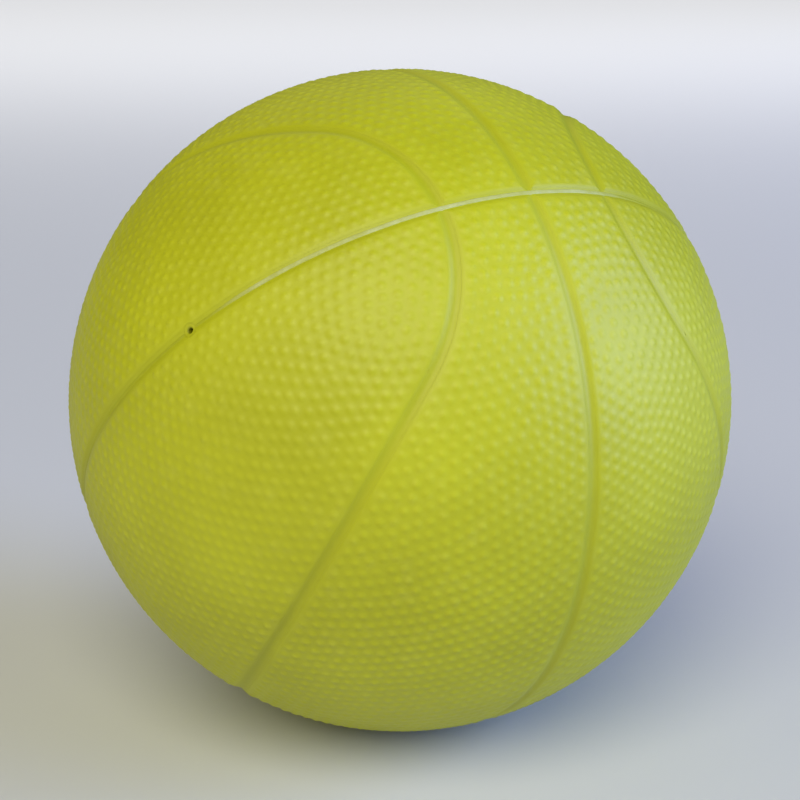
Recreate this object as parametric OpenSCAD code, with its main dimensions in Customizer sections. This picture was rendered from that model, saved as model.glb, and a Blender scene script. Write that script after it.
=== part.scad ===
// Moulded rubber dodgeball with the eight-panel channel pattern of a basketball.
// It is laid up from a butyl bladder, a thread winding, a backing ply and eight cover panels.
// The origin is the ball's centre, +Z is up, and the ball is seen from -Y.

/* [Ball] */
// Outside diameter of the inflated ball
ball_d = 216; // [160:1:330]
// Thickness of the cover panels, which is also the depth of the channels
cover_t = 1.1; // [0.8:0.1:2]
// Thickness of the rubber backing ply that carries the panels
backing_t = 0.8; // [0.5:0.1:2]
// Thickness of the nylon thread winding
winding_t = 0.4; // [0.3:0.1:1]
// Wall of the bladder
bladder_t = 0.7; // [0.4:0.1:1.5]
// Film of rubber cement between one layer and the next
cement_t = 0.1; // [0.1:0.05:0.2]

/* [Channel pattern] */
// Lean of the pattern about the axis through its two end loops, in degrees
pattern_lean = 43; // [-180:0.5:180]
// Heading of the right-hand end loop from +X, in degrees
pattern_heading = 30; // [-180:0.5:180]
// Angle between an end loop's side channels and the parting line, in degrees
side_angle = 45; // [38:1:52]
// Angle from the end loop's middle to the centre of its rounded tip, in degrees
tip_angle = 45; // [38:1:50]

/* [Channel section] */
// Width across a side channel at the ball's surface
channel_top_w = 5.2; // [4.4:0.1:6.4]
// Width of a side channel's floor
channel_floor_w = 2.8; // [2.2:0.1:3.3]
// How much wider the channels round the tips are, so that they take in the sides' ends
tip_extra_w = 0.1; // [0.1:0.05:0.4]

/* [Parting line] */
// Width of the flash ridge where it leaves the channel's floor
ridge_base_w = 1.4; // [0.6:0.1:2]
// Width of the flash ridge's crest
ridge_top_w = 0.6; // [0.2:0.1:0.6]
// Height of the flash ridge above the channel's floor
ridge_h = 0.8; // [0.3:0.1:0.8]

/* [Bladder seam] */
// Width of the lap where the two bladder halves are joined
lap_w = 12; // [6:1:20]
// Thickness of the lap's inner lip
lap_t = 0.6; // [0.4:0.1:1]

/* [Valve] */
// Angle from the left-hand end loop's middle to the valve, along the parting line, in degrees
valve_angle = 32.5; // [20:0.5:60]
// Diameter of the valve plug
plug_d = 4; // [3:0.1:5]
// Length of the valve plug
plug_l = 14; // [12:0.5:18]
// Chamfer round the plug's inner end
plug_chamfer = 0.5; // [0.2:0.1:0.8]
// Diameter of the needle duct in the plug
duct_d = 1.6; // [1.2:0.1:2]
// Length of the needle duct's straight wall
duct_l = 10; // [8:0.5:11]
// Depth of the 45 degree lead-in at the duct's mouth
duct_lead_in = 0.3; // [0.2:0.05:0.4]
// Radial running clearance between the plug and the housing
plug_clearance = 0.05; // [0.02:0.01:0.1]
// Radial gap between the plug and the edges of the panels beside it
cover_relief = 0.35; // [0.2:0.05:0.45]
// Diameter of the housing's neck, which passes through the layers
neck_d = 8; // [7:0.5:10]
// Radial gap between the neck and the layers
neck_clearance = 0.15; // [0.1:0.05:0.3]
// Diameter of the housing's body inside the bladder
body_d = 11; // [10:0.5:14]
// Closed end of the housing, below the plug
body_end_t = 2; // [1:0.5:4]
// Diameter of the flange that is cemented inside the bladder
flange_d = 34; // [24:1:50]
// Thickness of the flange
flange_t = 1.2; // [0.8:0.1:2.5]

/* [Hidden] */
// Fineness of the preview, which the exact shapes don't depend on
$fn = 96;
cover_colour = "#b9be2b";
thread_colour = "#e4e0d0";
butyl_colour = "#2b2b2d";
// How far a cutter runs past the face that it cuts
overrun = 1;

// Radii of the layers, each laid on the one below with a film of cement
ball_r = ball_d / 2;
cover_inner_r = ball_r - cover_t;
backing_outer_r = cover_inner_r - cement_t;
backing_inner_r = backing_outer_r - backing_t;
winding_outer_r = backing_inner_r - cement_t;
winding_inner_r = winding_outer_r - winding_t;
bladder_outer_r = winding_inner_r - cement_t;
bladder_inner_r = bladder_outer_r - bladder_t;
lap_outer_r = bladder_inner_r - cement_t;
lap_inner_r = lap_outer_r - lap_t;
flange_outer_r = bladder_inner_r - cement_t;
flange_inner_r = flange_outer_r - flange_t;
beyond_r = ball_r + overrun;

// An end loop is two great-circle sides joined by two tips, small circles that touch both sides
tip_r_angle = asin(sin(side_angle) * cos(tip_angle));
tip_half_span = asin(cos(side_angle) / cos(tip_r_angle));
side_half_span = atan(tan(tip_angle) / cos(side_angle));

// The selector for what is inside a loop: its slope through the four ends of the sides,
// and how far past the tips' middle lines it runs, in degrees
meeting_slope = tan(side_half_span) / cos(side_angle);
tip_margin = 0.3;
// How far a tip's channel runs on past a side's end, in degrees
tip_overlap = 0.5;

// One wall of a channel as [radius, offset], from below the floor to above the surface
wall_slope = (channel_top_w - channel_floor_w) / (2 * cover_t);
function wall(extra_w, reach) = [
    [cover_inner_r - reach, (channel_floor_w + extra_w) / 2 - reach * wall_slope],
    [ball_r + reach, (channel_top_w + extra_w) / 2 + reach * wall_slope]
];
side_wall = wall(0, cover_t / 4);
tip_wall = wall(tip_extra_w, cover_t / 2);

// The flash ridge's section across the parting line, with its foot sunk into the ply
ridge_slope = (ridge_base_w - ridge_top_w) / (2 * ridge_h);
ridge_foot = backing_t / 2;
ridge_section = [
    [backing_outer_r - ridge_foot, -ridge_base_w / 2 - ridge_foot * ridge_slope],
    [backing_outer_r + ridge_h, -ridge_top_w / 2],
    [backing_outer_r + ridge_h, ridge_top_w / 2],
    [backing_outer_r - ridge_foot, ridge_base_w / 2 + ridge_foot * ridge_slope]
];

// The pattern's own frame: X through the end loops' middles, Y square to the parting line
module in_pattern() {
    rotate([pattern_lean, 0, pattern_heading])
        children();
}

// The valve's frame: Z out along the valve's axis
module at_valve() {
    in_pattern()
        rotate([0, valve_angle - 90, 0])
            children();
}

module layer(outer_r, inner_r) {
    difference() {
        sphere(outer_r);
        sphere(inner_r);
    }
}

// The right-hand half of a layer's section through the ball's centre, between two heights
module layer_section(outer_r, inner_r, low, high) {
    intersection() {
        difference() {
            circle(outer_r);
            circle(inner_r);
        }
        translate([0, low])
            square([beyond_r, high - low]);
    }
}

// The hole that the valve housing's neck passes through
module neck_hole() {
    at_valve()
        cylinder(h = beyond_r, d = neck_d + 2 * neck_clearance);
}

module holed_layer(outer_r, inner_r) {
    difference() {
        layer(outer_r, inner_r);
        neck_hole();
    }
}

// The section past the wall of a channel in the X axis, on its +Y side
module past_wall() {
    polygon([
        [0, 0],
        side_wall[0],
        side_wall[1],
        [side_wall[1][0], beyond_r],
        [0, beyond_r]
    ]);
}

// A cutter for a channel at an angle from the Z axis, turned half a span to both sides of +X
module channel(wall_points, from_axis, half_span) {
    rotate([0, 0, -half_span])
        rotate_extrude(angle = 2 * half_span)
            rotate(90 - from_axis)
                polygon([
                    wall_points[0],
                    wall_points[1],
                    [wall_points[1][0], -wall_points[1][1]],
                    [wall_points[0][0], -wall_points[0][1]]
                ]);
}

// The +X end loop's side channel above the parting line, on a great circle
module side_channel() {
    rotate([0, 0, side_angle])
        rotate([90, 0, 0])
            channel(side_wall, 90, side_half_span);
}

// The +X end loop's two tip channels, on small circles
module tip_channels() {
    for (end = [0, 1])
        mirror([0, 0, end])
            rotate([0, 90 - tip_angle, 0])
                rotate([0, 0, 180])
                    channel(tip_wall, tip_r_angle, tip_half_span + tip_overlap);
}

// The space inside the +X end loop, out to the middle of its channel
module inside_loop() {
    intersection() {
        wedge(tan(side_angle));
        rotate([90, 0, 0])
            wedge(meeting_slope);
    }
    for (end = [0, 1])
        mirror([0, 0, end])
            rotate([0, 90 - tip_angle, 0])
                cylinder(h = beyond_r, r1 = 0, r2 = beyond_r * tan(tip_r_angle + tip_margin));
}

// A wedge that opens towards +X from the Z axis, with a slope to each side
module wedge(slope) {
    linear_extrude(4 * beyond_r, center = true)
        polygon([
            [0, 0],
            [beyond_r, beyond_r * slope],
            [beyond_r, -beyond_r * slope]
        ]);
}

// The cover on the upper side of the parting line, cut by the +X end loop's channels
module cut_cover_half() {
    difference() {
        rotate([-90, 0, 0])
            rotate_extrude()
                intersection() {
                    layer_section(ball_r, cover_inner_r, -beyond_r, beyond_r);
                    past_wall();
                }
        side_channel();
        tip_channels();
    }
}

module end_panel() {
    intersection() {
        cut_cover_half();
        inside_loop();
    }
}

module middle_panel() {
    difference() {
        intersection() {
            cut_cover_half();
            rotate([0, 90, 0])
                rotate_extrude()
                    past_wall();
        }
        inside_loop();
    }
}

// Puts a panel in place: left or right of the centre channel, above or below the parting line
module place_panel(left, lower) {
    in_pattern()
        mirror([left, 0, 0])
            mirror([0, lower, 0])
                children();
}

// A left-hand end panel, whose edge is cut back round the valve plug
module valve_side_panel(lower) {
    difference() {
        place_panel(1, lower)
            end_panel();
        at_valve()
            cylinder(h = beyond_r, d = plug_d + 2 * cover_relief);
    }
}

module left_end_panel_upper() {
    color(cover_colour)
        valve_side_panel(0);
}

module left_end_panel_lower() {
    color(cover_colour)
        valve_side_panel(1);
}

module left_middle_panel_upper() {
    color(cover_colour)
        place_panel(1, 0)
            middle_panel();
}

module left_middle_panel_lower() {
    color(cover_colour)
        place_panel(1, 1)
            middle_panel();
}

module right_middle_panel_upper() {
    color(cover_colour)
        place_panel(0, 0)
            middle_panel();
}

module right_middle_panel_lower() {
    color(cover_colour)
        place_panel(0, 1)
            middle_panel();
}

module right_end_panel_upper() {
    color(cover_colour)
        place_panel(0, 0)
            end_panel();
}

module right_end_panel_lower() {
    color(cover_colour)
        place_panel(0, 1)
            end_panel();
}

// The ply under the panels, which is the channels' floor, with the mould's flash ridge on it
module backing_ply() {
    color(cover_colour)
        difference() {
            in_pattern()
                rotate([90, 0, 0])
                    rotate_extrude()
                        union() {
                            layer_section(backing_outer_r, backing_inner_r, -beyond_r, beyond_r);
                            polygon(ridge_section);
                        }
            neck_hole();
        }
}

module thread_winding() {
    color(thread_colour)
        holed_layer(winding_outer_r, winding_inner_r);
}

// The bladder half that carries the valve, down to the seam square to the valve's axis
module bladder_valve_half() {
    color(butyl_colour)
        difference() {
            holed_layer(bladder_outer_r, bladder_inner_r);
            at_valve()
                translate([-beyond_r, -beyond_r, -2 * beyond_r])
                    cube(2 * beyond_r);
        }
}

// The other bladder half, with the lip that laps inside the valve half
module bladder_plain_half() {
    color(butyl_colour)
        at_valve()
            rotate_extrude() {
                layer_section(bladder_outer_r, bladder_inner_r, -beyond_r, -cement_t);
                layer_section(lap_outer_r, lap_inner_r, -lap_w / 2, lap_w / 2);
                layer_section(bladder_outer_r - bladder_t / 2, lap_inner_r, -lap_w / 2, -cement_t);
            }
}

// The moulded housing: neck through the layers, flange inside the bladder, closed body
module valve_housing() {
    bore_bottom = backing_outer_r - plug_l;
    color(butyl_colour)
        at_valve()
            difference() {
                union() {
                    intersection() {
                        sphere(backing_outer_r);
                        translate([0, 0, flange_inner_r - flange_t])
                            cylinder(h = beyond_r, d = neck_d);
                    }
                    intersection() {
                        layer(flange_outer_r, flange_inner_r);
                        cylinder(h = beyond_r, d = flange_d);
                    }
                    intersection() {
                        sphere((flange_outer_r + flange_inner_r) / 2);
                        translate([0, 0, bore_bottom - body_end_t])
                            cylinder(h = beyond_r, d = body_d);
                    }
                }
                translate([0, 0, bore_bottom])
                    cylinder(h = beyond_r, d = plug_d + 2 * plug_clearance);
            }
}

// The plug that seals the housing, with the duct that the needle goes through
module valve_plug() {
    color(cover_colour)
        at_valve()
            difference() {
                intersection() {
                    sphere(backing_outer_r);
                    translate([0, 0, backing_outer_r - plug_l + plug_clearance])
                        union() {
                            cylinder(h = plug_chamfer, d1 = plug_d - 2 * plug_chamfer, d2 = plug_d);
                            translate([0, 0, plug_chamfer])
                                cylinder(h = plug_l, d = plug_d);
                        }
                }
                translate([0, 0, backing_outer_r - duct_lead_in - duct_l])
                    cylinder(h = beyond_r, d = duct_d);
                translate([0, 0, backing_outer_r - duct_lead_in])
                    cylinder(h = 2 * duct_lead_in, d1 = duct_d, d2 = duct_d + 4 * duct_lead_in);
            }
}

left_end_panel_upper();
left_end_panel_lower();
left_middle_panel_upper();
left_middle_panel_lower();
right_middle_panel_upper();
right_middle_panel_lower();
right_end_panel_upper();
right_end_panel_lower();
backing_ply();
thread_winding();
bladder_valve_half();
bladder_plain_half();
valve_housing();
valve_plug();
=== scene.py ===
import math

import bpy
import numpy as np
from mathutils import Matrix, Vector


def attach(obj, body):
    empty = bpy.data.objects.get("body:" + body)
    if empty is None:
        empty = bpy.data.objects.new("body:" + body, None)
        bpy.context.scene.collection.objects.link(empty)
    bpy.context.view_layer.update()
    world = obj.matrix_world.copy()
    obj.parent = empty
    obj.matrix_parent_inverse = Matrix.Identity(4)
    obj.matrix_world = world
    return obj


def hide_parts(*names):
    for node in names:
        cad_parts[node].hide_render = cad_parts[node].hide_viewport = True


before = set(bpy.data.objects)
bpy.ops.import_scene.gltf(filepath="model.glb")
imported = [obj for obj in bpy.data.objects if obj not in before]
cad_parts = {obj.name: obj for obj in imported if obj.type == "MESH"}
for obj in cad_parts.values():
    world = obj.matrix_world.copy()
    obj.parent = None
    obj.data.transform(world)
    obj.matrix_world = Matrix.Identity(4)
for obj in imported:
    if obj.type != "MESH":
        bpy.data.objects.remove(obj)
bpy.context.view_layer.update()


# Camera. The photograph was taken about half a metre from the ball, a little above it,
# and the ball fills most of the frame.
BALL_R = 0.108
camera_distance = 5.08 * BALL_R
camera_elevation = math.radians(15.5)
lens = bpy.data.cameras.new("camera")
lens.sensor_width = 36
lens.lens = 74.4
lens.clip_start = 0.01
camera = bpy.data.objects.new("camera", lens)
bpy.context.scene.collection.objects.link(camera)
camera.location = (
    0, -camera_distance * math.cos(camera_elevation), camera_distance * math.sin(camera_elevation))
camera.rotation_euler = (math.pi / 2 - camera_elevation, 0, 0)
bpy.context.scene.camera = camera
bpy.context.scene.view_settings.view_transform = "Standard"


# Studio. A pale matt floor, a broad warm light above and in front, a large cool light at the
# right, which lays the whitish sheen on that side of the ball, a weak one at the left, and
# one over the floor far behind the ball, so that it stays pale up to the horizon.
FLOOR_R = 12


def linear(hex_colour, alpha=1.0):
    parts = [int(hex_colour[i:i + 2], 16) / 255 for i in (1, 3, 5)]
    return (*[p / 12.92 if p <= 0.04045 else ((p + 0.055) / 1.055) ** 2.4 for p in parts], alpha)


def node(tree, kind, links=None, **settings):
    made = tree.nodes.new("ShaderNode" + kind)
    for name, value in settings.items():
        setattr(made, name, value)
    for socket, source in (links or {}).items():
        if isinstance(source, bpy.types.NodeSocket):
            tree.links.new(source, made.inputs[socket])
        else:
            made.inputs[socket].default_value = source
    return made


def material(name):
    made = bpy.data.materials.new(name)
    made.use_nodes = True
    made.node_tree.nodes.clear()
    return made, made.node_tree


def surface(tree, shader):
    node(tree, "OutputMaterial", {"Surface": shader.outputs[0]})


def deselect():
    if bpy.context.object and bpy.context.object.mode != "OBJECT":
        bpy.ops.object.mode_set(mode="OBJECT")
    bpy.ops.object.select_all(action="DESELECT")


def area_light(name, place, size, power, colour, target=(0, 0, 0)):
    light = bpy.data.lights.new(name, "AREA")
    light.shape = "DISK"
    light.size = size
    light.energy = power
    light.color = linear(colour)[:3]
    lamp = bpy.data.objects.new(name, light)
    bpy.context.scene.collection.objects.link(lamp)
    lamp.location = place
    lamp.rotation_euler = (Vector(target) - Vector(place)).to_track_quat("-Z", "Y").to_euler()
    return lamp


deselect()
bpy.ops.mesh.primitive_circle_add(
    vertices=96, radius=FLOOR_R, fill_type="NGON", location=(0, 0, -BALL_R))
floor = bpy.context.object
floor.name = "floor"
bpy.ops.object.transform_apply()
floor_paint, tree = material("matt_white_floor_paint")
surface(tree, node(tree, "BsdfPrincipled", {
    "Base Color": linear("#cfcfcf"), "Roughness": 0.9}))
floor.data.materials.append(floor_paint)

world = bpy.data.worlds.new("studio")
bpy.context.scene.world = world
world.use_nodes = True
sky = world.node_tree.nodes["Background"]
sky.inputs["Color"].default_value = linear("#e6ebff")
sky.inputs["Strength"].default_value = 0.09
area_light("key_light", (-0.52, -3.76, 3.56), 3.8, 224, "#fffce4")
area_light("side_light", (4.74, -0.84, 1.8), 4, 320, "#9fb7ff")
area_light("left_light", (-4.08, -2.36, 2.2), 3.6, 36, "#fffad6")
far_light = area_light("far_floor_light", (0, 6.2, 1.8), 9, 215, "#ffffff", (0, 6.2, 0))
far_light.data.spread = math.radians(125)


# Bladder. Two pressed cups of butyl sheet, joined by a lapped seam, with the moulded
# valve housing cemented inside one of them. Butyl is black, smooth and slightly dusty, in
# clouds of about 17 mm over a grain of 0.4 mm.
def butyl(name, colour, dust):
    made, tree = material(name)
    place = node(tree, "TexCoord")
    cloud = node(tree, "TexNoise", {"Vector": place.outputs["Object"], "Scale": 60, "Detail": 5})
    grain = node(tree, "TexNoise", {"Vector": place.outputs["Object"], "Scale": 2600, "Detail": 2})
    mixed = node(tree, "Mix", {
        0: cloud.outputs["Fac"], 6: linear(colour), 7: linear(dust)}, data_type="RGBA")
    bump = node(tree, "Bump", {
        "Height": grain.outputs["Fac"], "Strength": 0.3, "Distance": 0.0001})
    rough = node(tree, "MapRange", {"Value": cloud.outputs["Fac"], "To Min": 0.45, "To Max": 0.7})
    surface(tree, node(tree, "BsdfPrincipled", {
        "Base Color": mixed.outputs[2], "Roughness": rough.outputs["Result"],
        "Normal": bump.outputs["Normal"], "IOR": 1.52}))
    return made


def dress(name, finish):
    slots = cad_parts[name].data.materials
    slots.clear()
    slots.append(finish)


butyl_sheet = butyl("pressed_butyl_sheet", "#1d1d1f", "#3b3a3a")
for name in ("bladder_valve_half", "bladder_plain_half"):
    dress(name, butyl_sheet)


# Valve housing. A stem of moulded butyl with a flange that is cemented inside the bladder.
# Its neck comes up under the ply, whose rubber closes over its end when the ball is moulded.
HEADING, LEAN, VALVE_ANGLE = math.radians(30), math.radians(43), math.radians(32.5)
PATTERN = Matrix.Rotation(HEADING, 4, "Z") @ Matrix.Rotation(LEAN, 4, "X")
VALVE = Vector((-math.cos(VALVE_ANGLE), 0, math.sin(VALVE_ANGLE)))
NECK_TOP = 0.1059
SAME_SPOT, CUT_TOLERANCE = 0.000001, 1e-7


def edit(select="SELECT", mode="FACE"):
    bpy.ops.object.mode_set(mode="EDIT")
    bpy.ops.mesh.select_mode(type=mode)
    bpy.ops.mesh.select_all(action=select)


def select_rims():
    edit("DESELECT", "EDGE")
    bpy.ops.mesh.select_non_manifold(
        extend=False, use_wire=False, use_multi_face=False, use_non_contiguous=False,
        use_verts=False)


def done(piece, name, finish, slot, body, *nodes):
    bpy.ops.object.mode_set(mode="OBJECT")
    piece.name = piece.data.name = name
    piece.data.materials.clear()
    piece.data.materials.append(finish)
    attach(piece, body)
    if nodes:
        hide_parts(*nodes)


deselect()
housing = bpy.data.objects.new("housing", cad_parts["valve_housing"].data.copy())
bpy.context.scene.collection.objects.link(housing)
bpy.context.view_layer.objects.active = housing
housing.select_set(True)
edit()
bpy.ops.mesh.remove_doubles(threshold=SAME_SPOT)
bpy.ops.mesh.select_all(action="SELECT")
axis = PATTERN.to_3x3() @ VALVE
bpy.ops.mesh.bisect(
    plane_co=axis * NECK_TOP, plane_no=axis, threshold=CUT_TOLERANCE, clear_outer=True)
select_rims()
bpy.ops.mesh.bridge_edge_loops()
bpy.ops.object.mode_set(mode="OBJECT")
bpy.ops.object.shade_smooth_by_angle(angle=math.radians(35))
moulded_butyl = butyl("moulded_butyl", "#1a1a1c", "#333234")
done(housing, "butyl_valve_housing", moulded_butyl, "butyl_rubber", "ball", "valve_housing")


# Thread winding. One long nylon thread is wound over the bladder in every direction and
# set in rubber solution. It is dry and fibrous, in close turns. The real thread is a third
# of a millimetre wide, and the turns are drawn wider so that they show.
THREAD_PITCH = 0.0009
winding, tree = material("wound_nylon_thread")
place = node(tree, "TexCoord").outputs["Object"]
turns = None
for axis in ((1, 0.3, 0.2), (-0.4, 1, 0.5), (0.3, -0.6, 1)):
    across = node(tree, "VectorMath", {
        0: place, 1: Vector(axis).normalized()}, operation="DOT_PRODUCT").outputs["Value"]
    wave = node(tree, "Math", {
        0: across, 1: 2 * math.pi / THREAD_PITCH}, operation="MULTIPLY").outputs["Value"]
    wave = node(tree, "Math", {0: wave}, operation="SINE").outputs["Value"]
    if turns is not None:
        wave = node(tree, "Math", {0: turns, 1: wave}, operation="MAXIMUM").outputs["Value"]
    turns = wave
tone = node(tree, "MapRange", {"Value": turns, "From Min": -1}).outputs["Result"]
tone = node(tree, "Mix", {
    0: tone, 6: linear("#a89f86"), 7: linear("#ece7d8")}, data_type="RGBA").outputs[2]
bump = node(tree, "Bump", {"Height": turns, "Strength": 0.6, "Distance": 0.0002}).outputs["Normal"]
surface(tree, node(tree, "BsdfPrincipled", {
    "Base Color": tone, "Roughness": 0.75, "Normal": bump, "Sheen Weight": 0.2}))
dress("thread_winding", winding)


# Backing ply. A sheet of the cover's rubber under the panels. The mould squeezes it up
# between the panels' edges, so every channel is a smooth shallow valley with no step in it.
PLY_R, PLY_T, VALLEY_R, PANEL_R, VALLEY_HALF_W = 0.1068, 0.0008, 0.10696, 0.10763, 0.0027
PLY_EDGE, PLY_MIDDLE, PLY_WALL_W, PLUG_HOLE_R = 0.0014, 0.0007, 0.00001, 0.00205
FINE_ZONE, ROUNDED_ZONE, MERGE_DISTANCE = 0.006, 0.008, 0.000002
QUARTER_SPARE, BLANK_T = 0.08, 0.01

# The channel round the right-hand end runs along a great circle (SIDE is its plane's normal)
# and turns in at each end on an arc of radius TIP_R about that tip's centre. The arcs begin
# where z is TIP_SLOPE times x.
SIDE = Vector((1, -1, 0)).normalized()
TIP_ANGLE, TIP_R, TIP_SLOPE = math.radians(45), math.radians(30), 2
TIPS = [Vector((math.cos(TIP_ANGLE), 0, end * math.sin(TIP_ANGLE))) for end in (1, -1)]


# Vulcanised natural rubber, coloured right through: matt with a broad soft gloss, a little
# chalky where it is rubbed, and with painted shade darkening the hollows. Its tone drifts over
# about 60 mm, the rubbed flecks are 6 mm apart, and the grain is 0.3 mm.
def cover_rubber(name, duct_r=0):
    made, tree = material(name)
    place = node(tree, "TexCoord").outputs["Object"]
    radius = node(tree, "VectorMath", {0: place}, operation="LENGTH").outputs["Value"]
    raised = node(tree, "MapRange", {
        "Value": radius, "From Min": 0.1070, "From Max": 0.10795}).outputs["Result"]
    cloud = node(tree, "TexNoise", {
        "Vector": place, "Scale": 16, "Detail": 4, "Roughness": 0.55}).outputs["Fac"]
    fleck = node(tree, "TexNoise", {
        "Vector": place, "Scale": 160, "Detail": 6, "Roughness": 0.7}).outputs["Fac"]
    cloud = node(tree, "MapRange", {
        "Value": cloud, "From Min": 0.35, "From Max": 0.65}).outputs["Result"]
    tone = node(tree, "Mix", {
        0: cloud, 6: linear("#b1b304"), 7: linear("#bdc00c")}, data_type="RGBA").outputs[2]
    scuff = node(tree, "MapRange", {
        "Value": fleck, "From Min": 0.5, "From Max": 0.8, "To Max": 0.3}).outputs["Result"]
    scuff = node(tree, "Math", {0: scuff, 1: raised}, operation="MULTIPLY").outputs["Value"]
    tone = node(tree, "Mix", {
        0: scuff, 6: tone, 7: linear("#c9cb5a")}, data_type="RGBA").outputs[2]
    # Painted shade: the tone is darkened down to 0.86 on the channels' floors, and less between
    # the pebbles.
    shade = node(tree, "MapRange", {
        "Value": raised, "To Min": 0.86, "To Max": 1}).outputs["Result"]
    tone = node(tree, "VectorMath", {0: tone, "Scale": shade}, operation="SCALE").outputs["Vector"]
    # Painted shade: a dark ring is painted round the needle duct's mouth.
    if duct_r:
        axis = PATTERN.to_3x3() @ VALVE
        off_axis = node(tree, "VectorMath", {
            0: place, 1: axis}, operation="CROSS_PRODUCT").outputs["Vector"]
        off_axis = node(tree, "VectorMath", {0: off_axis}, operation="LENGTH").outputs["Value"]
        painted_duct_shade = node(tree, "MapRange", {
            "Value": off_axis, "From Min": duct_r * 1.5,
            "From Max": duct_r * 1.05}).outputs["Result"]
        tone = node(tree, "Mix", {
            0: painted_duct_shade, 6: tone, 7: linear("#8a8c0c")}, data_type="RGBA").outputs[2]
    rough = node(tree, "MapRange", {
        "Value": fleck, "To Min": 0.42, "To Max": 0.6}).outputs["Result"]
    grain = node(tree, "TexNoise", {"Vector": place, "Scale": 3200, "Detail": 3}).outputs["Fac"]
    bump = node(tree, "Bump", {
        "Height": grain, "Strength": 0.2, "Distance": 0.00005}).outputs["Normal"]
    surface(tree, node(tree, "BsdfPrincipled", {
        "Base Color": tone, "Roughness": rough, "Normal": bump, "IOR": 1.5}))
    return made


def valley(offset):
    """The moulded surface's radius at an offset from the middle of the nearest channel."""
    rise = 0.5 - 0.5 * np.cos(math.pi * np.clip(offset / VALLEY_HALF_W, 0, 1))
    return VALLEY_R + (PANEL_R - VALLEY_R) * rise


def unit(spots):
    return spots / np.linalg.norm(spots, axis=1)[:, None]


def inside_loop(spots):
    """How far each spot is inside the middle of the right-hand loop's channel, in metres."""
    side = BALL_R * np.arcsin(np.clip(spots @ np.array(SIDE), -1, 1))
    towards = spots[:, 0] * math.cos(TIP_ANGLE) + np.abs(spots[:, 2]) * math.sin(TIP_ANGLE)
    tip = BALL_R * (TIP_R - np.arccos(np.clip(towards, -1, 1)))
    return np.where(np.abs(spots[:, 2]) > TIP_SLOPE * spots[:, 0], tip, side)


def nearest_channel(spots):
    """How far each spot is from the middle of the nearest channel, anywhere on the ball."""
    folded = np.abs(spots) * (1, 1, 0) + spots * (0, 0, 1)
    straight = BALL_R * np.arcsin(np.clip(folded[:, :2].min(1), 0, 1))
    return np.minimum(straight, np.abs(inside_loop(folded)))


def select_faces(piece, wanted):
    """Goes into edit mode with those of a piece's faces selected whose middles pass a test."""
    edit("DESELECT")
    bpy.ops.object.mode_set(mode="OBJECT")
    faces = piece.data.polygons
    middles = np.zeros(len(faces) * 3)
    faces.foreach_get("center", middles)
    faces.foreach_set("select", wanted(middles.reshape(-1, 3)))
    bpy.ops.object.mode_set(mode="EDIT")


def cut(piece, wanted, normal, distance, keep=0):
    """Cuts the wanted faces at a plane: keep 1 or -1 keeps that side of it, and 0 keeps both."""
    select_faces(piece, wanted)
    bpy.ops.mesh.bisect(
        plane_co=Vector(normal) * distance, plane_no=normal, threshold=CUT_TOLERANCE,
        clear_inner=keep > 0, clear_outer=keep < 0)
    bpy.ops.object.mode_set(mode="OBJECT")


def everywhere(middles):
    return np.ones(len(middles), bool)


def cut_by_loop(piece, offset, keep=0):
    """Cuts a piece along a line at an offset inside the loop's middle, or outside if negative."""
    cut(piece, lambda m: np.abs(m[:, 2]) < TIP_SLOPE * m[:, 0], SIDE,
        BALL_R * math.sin(offset / BALL_R), keep)
    for end, tip in zip((1, -1), TIPS):
        cut(piece, lambda m: (np.abs(m[:, 2]) > TIP_SLOPE * m[:, 0]) & (m[:, 2] * end > 0), tip,
            BALL_R * math.cos(TIP_R - offset / BALL_R), keep)


def spots_of(piece):
    spots = np.zeros(len(piece.data.vertices) * 3)
    piece.data.vertices.foreach_get("co", spots)
    return spots.reshape(-1, 3)


def move_to(piece, spots):
    piece.data.vertices.foreach_set("co", spots.ravel())
    piece.data.update()


def ball_patch(fineness, unwanted, refined, cuts):
    """Part of a sphere of the ball's size, with finer faces where refined, ready to be cut."""
    deselect()
    bpy.ops.mesh.primitive_ico_sphere_add(subdivisions=fineness, radius=BALL_R)
    piece = bpy.context.object
    select_faces(piece, lambda m: unwanted(unit(m)))
    bpy.ops.mesh.delete(type="FACE")
    if cuts:
        select_faces(piece, lambda m: refined(unit(m)))
        bpy.ops.mesh.subdivide(number_cuts=cuts)
    bpy.ops.object.mode_set(mode="OBJECT")
    move_to(piece, unit(spots_of(piece)) * BALL_R)
    for end in (1, -1):
        cut(piece, everywhere, Vector((TIP_SLOPE, 0, -end)).normalized(), 0)
    return piece


def merge(piece):
    edit()
    bpy.ops.mesh.remove_doubles(threshold=MERGE_DISTANCE)
    bpy.ops.mesh.delete_loose()
    bpy.ops.object.mode_set(mode="OBJECT")


# A quarter of the ply is cut at the channels' middles and edges, then mirrored twice.
ply = ball_patch(
    5, lambda u: (u[:, 0] < -QUARTER_SPARE) | (u[:, 1] < -QUARTER_SPARE),
    lambda u: nearest_channel(u) < FINE_ZONE, 3)
for axis in ((1, 0, 0), (0, 1, 0)):
    cut(ply, everywhere, axis, 0, 1)
cut_by_loop(ply, 0)
for offset in (PLY_MIDDLE, PLY_EDGE, PLY_EDGE + PLY_WALL_W):
    for axis in ((1, 0, 0), (0, 1, 0)):
        cut(ply, everywhere, axis, BALL_R * math.sin(offset / BALL_R))
    for side in (1, -1):
        cut_by_loop(ply, side * offset)
merge(ply)
mirror = ply.modifiers.new("quarters", "MIRROR")
mirror.use_axis = (True, True, False)
mirror.merge_threshold = MERGE_DISTANCE
bpy.ops.object.modifier_apply(modifier=mirror.name)

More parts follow.
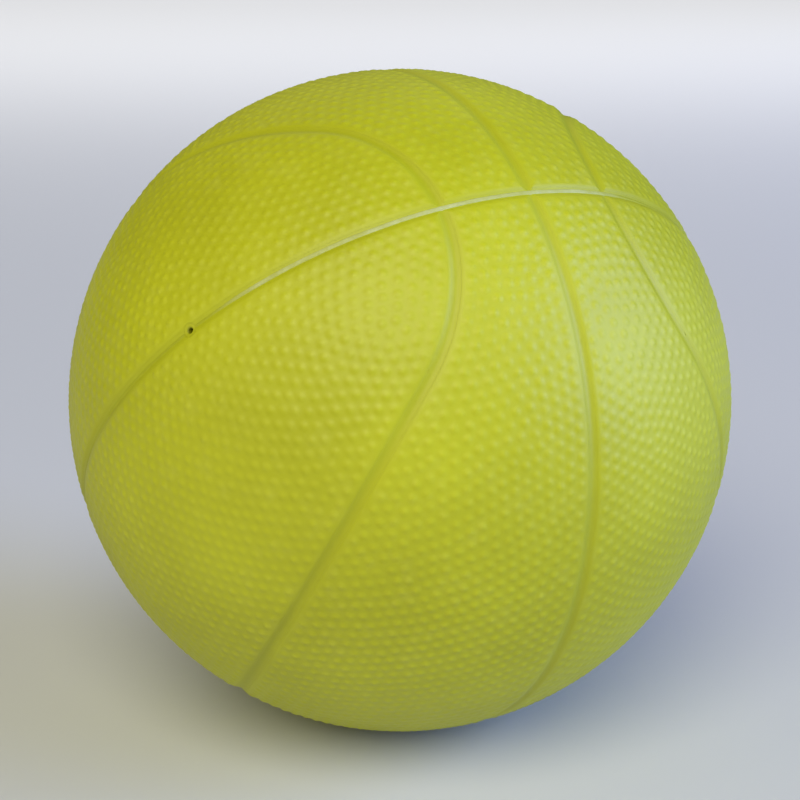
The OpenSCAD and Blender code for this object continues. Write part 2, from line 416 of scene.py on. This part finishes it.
# The plug's hole: finer faces round it, put back on the sphere, and a plane that cuts it out.
valve_spot = np.array(VALVE) * BALL_R
select_faces(ply, lambda m: np.linalg.norm(m - valve_spot, axis=1) < FINE_ZONE)
bpy.ops.mesh.subdivide(number_cuts=3)
bpy.ops.object.mode_set(mode="OBJECT")
spots = spots_of(ply)
near = np.linalg.norm(spots - valve_spot, axis=1) < ROUNDED_ZONE
spots[near] = unit(spots[near]) * BALL_R
move_to(ply, spots)
hole_angle = math.asin(PLUG_HOLE_R / VALLEY_R)
cut(ply, lambda m: m @ np.array(VALVE) > 0, VALVE, BALL_R * math.cos(hole_angle), -1)
merge(ply)

# A thickness of its own, then every spot's radius: the valley, the ply's face or its underside.
wall = ply.modifiers.new("ply thickness", "SOLIDIFY")
wall.thickness, wall.offset = BLANK_T, -1
bpy.ops.object.modifier_apply(modifier=wall.name)
spots = spots_of(ply)
outer = np.linalg.norm(spots, axis=1) > BALL_R - BLANK_T / 2
offset = nearest_channel(spots / BALL_R)
face_r = np.where(offset < PLY_EDGE + PLY_WALL_W / 2, valley(offset), PLY_R)
radius = np.where(outer, face_r, PLY_R - PLY_T)
move_to(ply, unit(spots) * radius[:, None])
ply.data.transform(PATTERN)
bpy.ops.object.shade_smooth_by_angle(angle=math.radians(40))
channel_rubber = cover_rubber("moulded_channel_rubber")
done(ply, "channel_floor_ply", channel_rubber, "cover_rubber", "ball", "backing_ply")


# Flash ridge. Rubber squeezed out between the two mould halves stands in the parting
# line's channel as a thin ragged fin. It is trimmed by hand, and its crest is scuffed white
# over the top of the ball.
RIDGE_BASE_W, RIDGE_TOP_W, RIDGE_TOP_R = 0.0018, 0.0008, 0.10734
RIDGE_SUNK, RIDGE_STEPS, RIDGE_CLEAR_ANGLE, RIDGE_MERGE = 0.0001, 1400, 0.0012, 0.00001
deselect()
bpy.ops.mesh.primitive_plane_add(size=1)
ridge = bpy.context.object
foot = VALLEY_R - RIDGE_SUNK
section = [
    (foot, -RIDGE_BASE_W / 2), (foot, RIDGE_BASE_W / 2),
    (RIDGE_TOP_R, -RIDGE_TOP_W / 2), (RIDGE_TOP_R, RIDGE_TOP_W / 2)]
for corner, (radius, offset) in zip(ridge.data.vertices, section):
    corner.co = (radius, offset, 0)
edit()
bpy.ops.mesh.subdivide(number_cuts=3)
gap = 2 * (hole_angle + RIDGE_CLEAR_ANGLE)
bpy.ops.mesh.spin(
    steps=RIDGE_STEPS, angle=2 * math.pi - gap, center=(0, 0, 0), axis=(0, 1, 0))
edit()
bpy.ops.mesh.remove_doubles(threshold=RIDGE_MERGE)
bpy.ops.mesh.normals_make_consistent(inside=False)
bpy.ops.object.mode_set(mode="OBJECT")

# The gap that the spin leaves is turned to the valve, whichever way it ran. The fin is then
# trimmed: ragged over its whole length, and full height only over the top of the ball.
# Bearings are angles round the parting line, from the right.
spots = spots_of(ridge)
turn = np.arctan2(spots[:, 2], spots[:, 0])
order = np.sort(turn)
steps = np.diff(np.append(order, order[0] + 2 * math.pi))
valve_bearing = math.atan2(VALVE.z, VALVE.x)
along = turn + valve_bearing - order[steps.argmax()] - steps.max() / 2
ragged = np.zeros(len(along))
chance = np.random.default_rng(7)
for waves in (9, 23, 57, 131, 303):
    ragged += np.sin(waves * along + chance.uniform(0, 6.28)) * chance.uniform(0.5, 1)
ragged /= np.abs(ragged).max()
bearing = np.arctan2(np.sin(along), np.cos(along))
proud_bearings = (1.1, 1.3, valve_bearing - 0.22, valve_bearing - 0.06)
proud = np.interp(bearing, proud_bearings, (0.35, 1, 1, 0.35))
radius = np.hypot(spots[:, 0], spots[:, 2])
height = np.clip((radius - VALLEY_R) / (RIDGE_TOP_R - VALLEY_R), 0, 1)
radius = radius - height * (RIDGE_TOP_R - VALLEY_R) * (1 - proud * (0.75 + 0.25 * ragged))
offset = spots[:, 1] * (0.45 + 0.55 * proud) + 0.0001 * height * np.sin(37 * along + 2 * ragged)
move_to(ridge, np.stack([radius * np.cos(along), offset, radius * np.sin(along)], 1))
ridge.data.transform(PATTERN)
bpy.ops.object.shade_smooth_by_angle(angle=math.radians(60))

# Torn and rubbed rubber: chalky and pale over the top, in patches of about 25 mm, and a
# darker yellow than the cover elsewhere.
flash, tree = material("scuffed_flash_rubber")
place = node(tree, "TexCoord").outputs["Object"]
axes = [PATTERN.to_3x3() @ Vector(a) for a in ((1, 0, 0), (0, 0, 1))]
right, rise = [
    node(tree, "VectorMath", {0: place, 1: a}, operation="DOT_PRODUCT").outputs["Value"]
    for a in axes]
bearing = node(tree, "Math", {0: rise, 1: right}, operation="ARCTAN2").outputs["Value"]
begun = node(tree, "MapRange", {
    "Value": bearing, "From Min": valve_bearing - 0.07,
    "From Max": valve_bearing - 0.25}).outputs["Result"]
faded = node(tree, "MapRange", {
    "Value": bearing, "From Min": 1.22, "From Max": 1.36}).outputs["Result"]
rubbed = node(tree, "Math", {0: begun, 1: faded}, operation="MULTIPLY").outputs["Value"]
patchy = node(tree, "TexNoise", {
    "Vector": place, "Scale": 38, "Detail": 5, "Roughness": 0.7}).outputs["Fac"]
patchy = node(tree, "MapRange", {
    "Value": patchy, "From Min": 0.38, "From Max": 0.6, "To Min": 0.25}).outputs["Result"]
rubbed = node(tree, "Math", {0: rubbed, 1: patchy}, operation="MULTIPLY").outputs["Value"]
tone = node(tree, "Mix", {
    0: rubbed, 6: linear("#a3a60c"), 7: linear("#c1c68a")}, data_type="RGBA").outputs[2]
surface(tree, node(tree, "BsdfPrincipled", {"Base Color": tone, "Roughness": 0.65, "IOR": 1.5}))
done(ridge, "flash_ridge", flash, "cover_rubber", "ball")


# Cover panels. Eight panels of coloured rubber sheet are die-cut and laid on the ply so that
# their gaps leave the channels, and the hot mould presses the pebbles into them. An end panel
# lies inside the rounded loop at each end, and a middle panel between the loop and the centre.
PANEL_FLOOR_R, PANEL_EDGE, UNDER_SETBACK, PATCH_SPARE = 0.1069, 0.00142, 0.002, 0.004
PEBBLE_H, PEBBLE_R, PEBBLE_WANDER = 0.00032, 0.00188, 0.00013
PEBBLE_AREA, PEBBLE_MARGIN, PEBBLE_SPARE = 14.2e-6, 0.0042, 0.0012
PUSH_ROUNDS, PUSH_REACH, PUSH_STEP = 90, 1.35, 0.32
SCORE_LINES, PANEL_CUTS, SPOTS_AT_ONCE = (PANEL_EDGE, 0.0018, 0.0024), 7, 4000


def in_end_panel(spots):
    """How far each spot is inside the middles of the channels round an end panel, in metres."""
    parting = BALL_R * np.arcsin(np.clip(spots[:, 1], -1, 1))
    return np.minimum(parting, inside_loop(spots))


def in_middle_panel(spots):
    """The same for a middle panel."""
    parting = BALL_R * np.arcsin(np.clip(spots[:, 1], -1, 1))
    centre = BALL_R * np.arcsin(np.clip(spots[:, 0], -1, 1))
    return np.minimum(np.minimum(parting, centre), -inside_loop(spots))


def pebble_places(inside):
    """Pebble centres that push each other apart into even rows along the panel's edges."""
    count = int(4 * math.pi * BALL_R ** 2 / PEBBLE_AREA)
    step = np.arange(count) + 0.5
    z = 1 - 2 * step / count
    turn = step * math.pi * (3 - math.sqrt(5))
    spots = np.stack([np.sqrt(1 - z * z) * np.cos(turn), np.sqrt(1 - z * z) * np.sin(turn), z], 1)
    spots = spots[inside(spots) > PEBBLE_MARGIN - PEBBLE_SPARE]
    reach = PUSH_REACH * math.sqrt(PEBBLE_AREA) / BALL_R
    for push_round in range(PUSH_ROUNDS):
        apart = np.sqrt(np.maximum(2 - 2 * spots @ spots.T, 1e-9))
        push = np.maximum(0, 1 - apart / reach) ** 1.5 / apart
        np.fill_diagonal(push, 0)
        spots = unit(spots + PUSH_STEP * reach * (spots * push.sum(1)[:, None] - push @ spots))
        depth = inside(spots)
        slope = np.stack([inside(spots + 1e-5 * np.eye(3)[a]) - depth for a in range(3)], 1)
        slope = unit(slope - spots * (spots * slope).sum(1)[:, None] + 1e-12)
        spots = unit(spots + slope * (np.maximum(0, PEBBLE_MARGIN - depth) / BALL_R)[:, None])
    return spots


def blank(inside, loop_side, centre_cut, fineness, cuts, offsets):
    """A piece of sphere with a panel's outline, scored at offsets from the channels' middles."""
    piece = ball_patch(
        fineness, lambda u: inside(u) < offsets[0] - PATCH_SPARE, everywhere, cuts)
    for number, offset in enumerate(offsets):
        keep = 1 if number == 0 else 0
        away = BALL_R * math.sin(offset / BALL_R)
        cut(piece, everywhere, (0, 1, 0), away, keep)
        if centre_cut:
            cut(piece, everywhere, (1, 0, 0), away, keep)
        cut_by_loop(piece, loop_side * offset, loop_side * keep)
    merge(piece)
    return piece


def press_pebbles(piece, inside):
    """Gives a blank the channel's shape at its edges, and raises a dome at each pebble."""
    spots = unit(spots_of(piece))
    radius = valley(inside(spots))
    centres = pebble_places(inside)
    chance = np.random.default_rng(11)
    heights = chance.uniform(0.72, 1.0, len(centres)) * PEBBLE_H
    centres = unit(centres + chance.normal(0, PEBBLE_WANDER / BALL_R, centres.shape))
    for first in range(0, len(spots), SPOTS_AT_ONCE):
        part = slice(first, first + SPOTS_AT_ONCE)
        near = spots[part] @ centres.T
        nearest = near.argmax(1)
        closeness = np.clip(near[np.arange(len(nearest)), nearest], -1, 1)
        away = BALL_R * np.arccos(closeness) / PEBBLE_R
        radius[part] += (0.5 + 0.5 * np.cos(math.pi * np.minimum(away, 1))) * heights[nearest]
    move_to(piece, spots * radius[:, None])


def panel(inside, loop_side, centre_cut):
    """One pebbled panel with its edge and underside closed, in the pattern's own frame."""
    fineness = 6
    top = blank(inside, loop_side, centre_cut, fineness, PANEL_CUTS, SCORE_LINES)
    press_pebbles(top, inside)
    select_rims()
    bpy.ops.mesh.extrude_region()
    bpy.ops.object.mode_set(mode="OBJECT")
    spots = spots_of(top)
    lowered = np.zeros(len(spots), bool)
    top.data.vertices.foreach_get("select", lowered)
    spots[lowered] = unit(spots[lowered]) * PANEL_FLOOR_R
    move_to(top, spots)
    under = blank(inside, loop_side, centre_cut, 6, 0, (PANEL_EDGE + UNDER_SETBACK,))
    under.data.transform(Matrix.Scale(PANEL_FLOOR_R / BALL_R, 4))
    under.data.flip_normals()
    deselect()
    under.select_set(True)
    top.select_set(True)
    bpy.context.view_layer.objects.active = top
    bpy.ops.object.join()
    select_rims()
    bpy.ops.mesh.bridge_edge_loops()
    edit()
    bpy.ops.mesh.quads_convert_to_tris()
    bpy.ops.mesh.normals_make_consistent(inside=False)
    bpy.ops.object.mode_set(mode="OBJECT")
    bpy.ops.object.shade_smooth_by_angle(angle=math.radians(50))
    return top


panel_rubber = cover_rubber("pebble_moulded_cover_rubber")
kinds = (("end", in_end_panel, 1, False), ("middle", in_middle_panel, -1, True))
for kind, inside, loop_side, centre_cut in kinds:
    model = panel(inside, loop_side, centre_cut)
    for left in (0, 1):
        for lower in (0, 1):
            name = ("right", "left")[left] + "_" + kind + "_panel_" + ("upper", "lower")[lower]
            piece = bpy.data.objects.new(name, model.data.copy())
            bpy.context.scene.collection.objects.link(piece)
            piece.data.transform(Matrix.Diagonal(((-1) ** left, (-1) ** lower, 1, 1)))
            if left != lower:
                piece.data.flip_normals()
            if kind == "end" and left:
                # The edges of these two panels are trimmed back round the plug.
                spots = spots_of(piece)
                up = spots @ np.array(VALVE)
                off = spots - up[:, None] * np.array(VALVE)
                away = np.linalg.norm(off, axis=1)
                near = (away < PLUG_HOLE_R) & (up > 0)
                spots[near] += off[near] * (PLUG_HOLE_R / away[near] - 1)[:, None]
                move_to(piece, spots)
            piece.data.transform(PATTERN)
            deselect()
            bpy.context.view_layer.objects.active = piece
            done(piece, "pebbled_" + name, panel_rubber, "cover_rubber", "ball", name)
    bpy.data.objects.remove(model)


# Valve plug. A pin of soft cover rubber pushed into the housing after moulding. Its end
# follows the channel's shape, and painted shade darkens the rubber round its needle duct's mouth.
PLUG_R, PLUG_CHAMFER, PLUG_BOTTOM = 0.002, 0.0005, 0.09285
FACE_RINGS = (0.00135, 0.0016, 0.0018)
DUCT_R, DUCT_BOTTOM, DUCT_LEAD_IN = 0.0008, 0.0965, 0.0003
deselect()
bpy.ops.mesh.primitive_circle_add(
    vertices=64, radius=DUCT_R, fill_type="NGON", location=(0, 0, DUCT_BOTTOM))
plug = bpy.context.object
bpy.ops.object.transform_apply()
edit()
rings = [
    (DUCT_R, PLY_R - DUCT_LEAD_IN), (DUCT_R + DUCT_LEAD_IN, PLY_R),
    *[(ring, PLY_R) for ring in FACE_RINGS],
    (PLUG_R, PLY_R), (PLUG_R, PLUG_BOTTOM + PLUG_CHAMFER), (PLUG_R - PLUG_CHAMFER, PLUG_BOTTOM)]
select_rims()
ring_r, ring_z = DUCT_R, DUCT_BOTTOM
for next_r, next_z in rings:
    bpy.ops.mesh.extrude_edges_move(TRANSFORM_OT_translate={"value": (0, 0, next_z - ring_z)})
    bpy.ops.transform.resize(
        value=(next_r / ring_r, next_r / ring_r, 1), center_override=(0, 0, 0))
    ring_r, ring_z = next_r, next_z
bpy.ops.mesh.edge_face_add()
edit()
bpy.ops.mesh.normals_make_consistent(inside=False)
bpy.ops.object.mode_set(mode="OBJECT")
spots = spots_of(plug)
mouth = spots[:, 2] > PLY_R - 2 * DUCT_LEAD_IN
surface_r = valley(np.abs(spots[mouth, 1]))
spots[mouth, 2] += np.sqrt(surface_r ** 2 - (spots[mouth, :2] ** 2).sum(1)) - PLY_R
move_to(plug, spots)
across = Vector((0, 1, 0))
upright = Matrix((across.cross(VALVE), across, VALVE)).transposed().to_4x4()
plug.data.transform(PATTERN @ upright)
bpy.ops.object.shade_smooth_by_angle(angle=math.radians(35))
plug_rubber = cover_rubber("soft_moulded_plug_rubber", DUCT_R)
done(plug, "needle_valve_plug", plug_rubber, "plug_rubber", "valve_plug", "valve_plug")
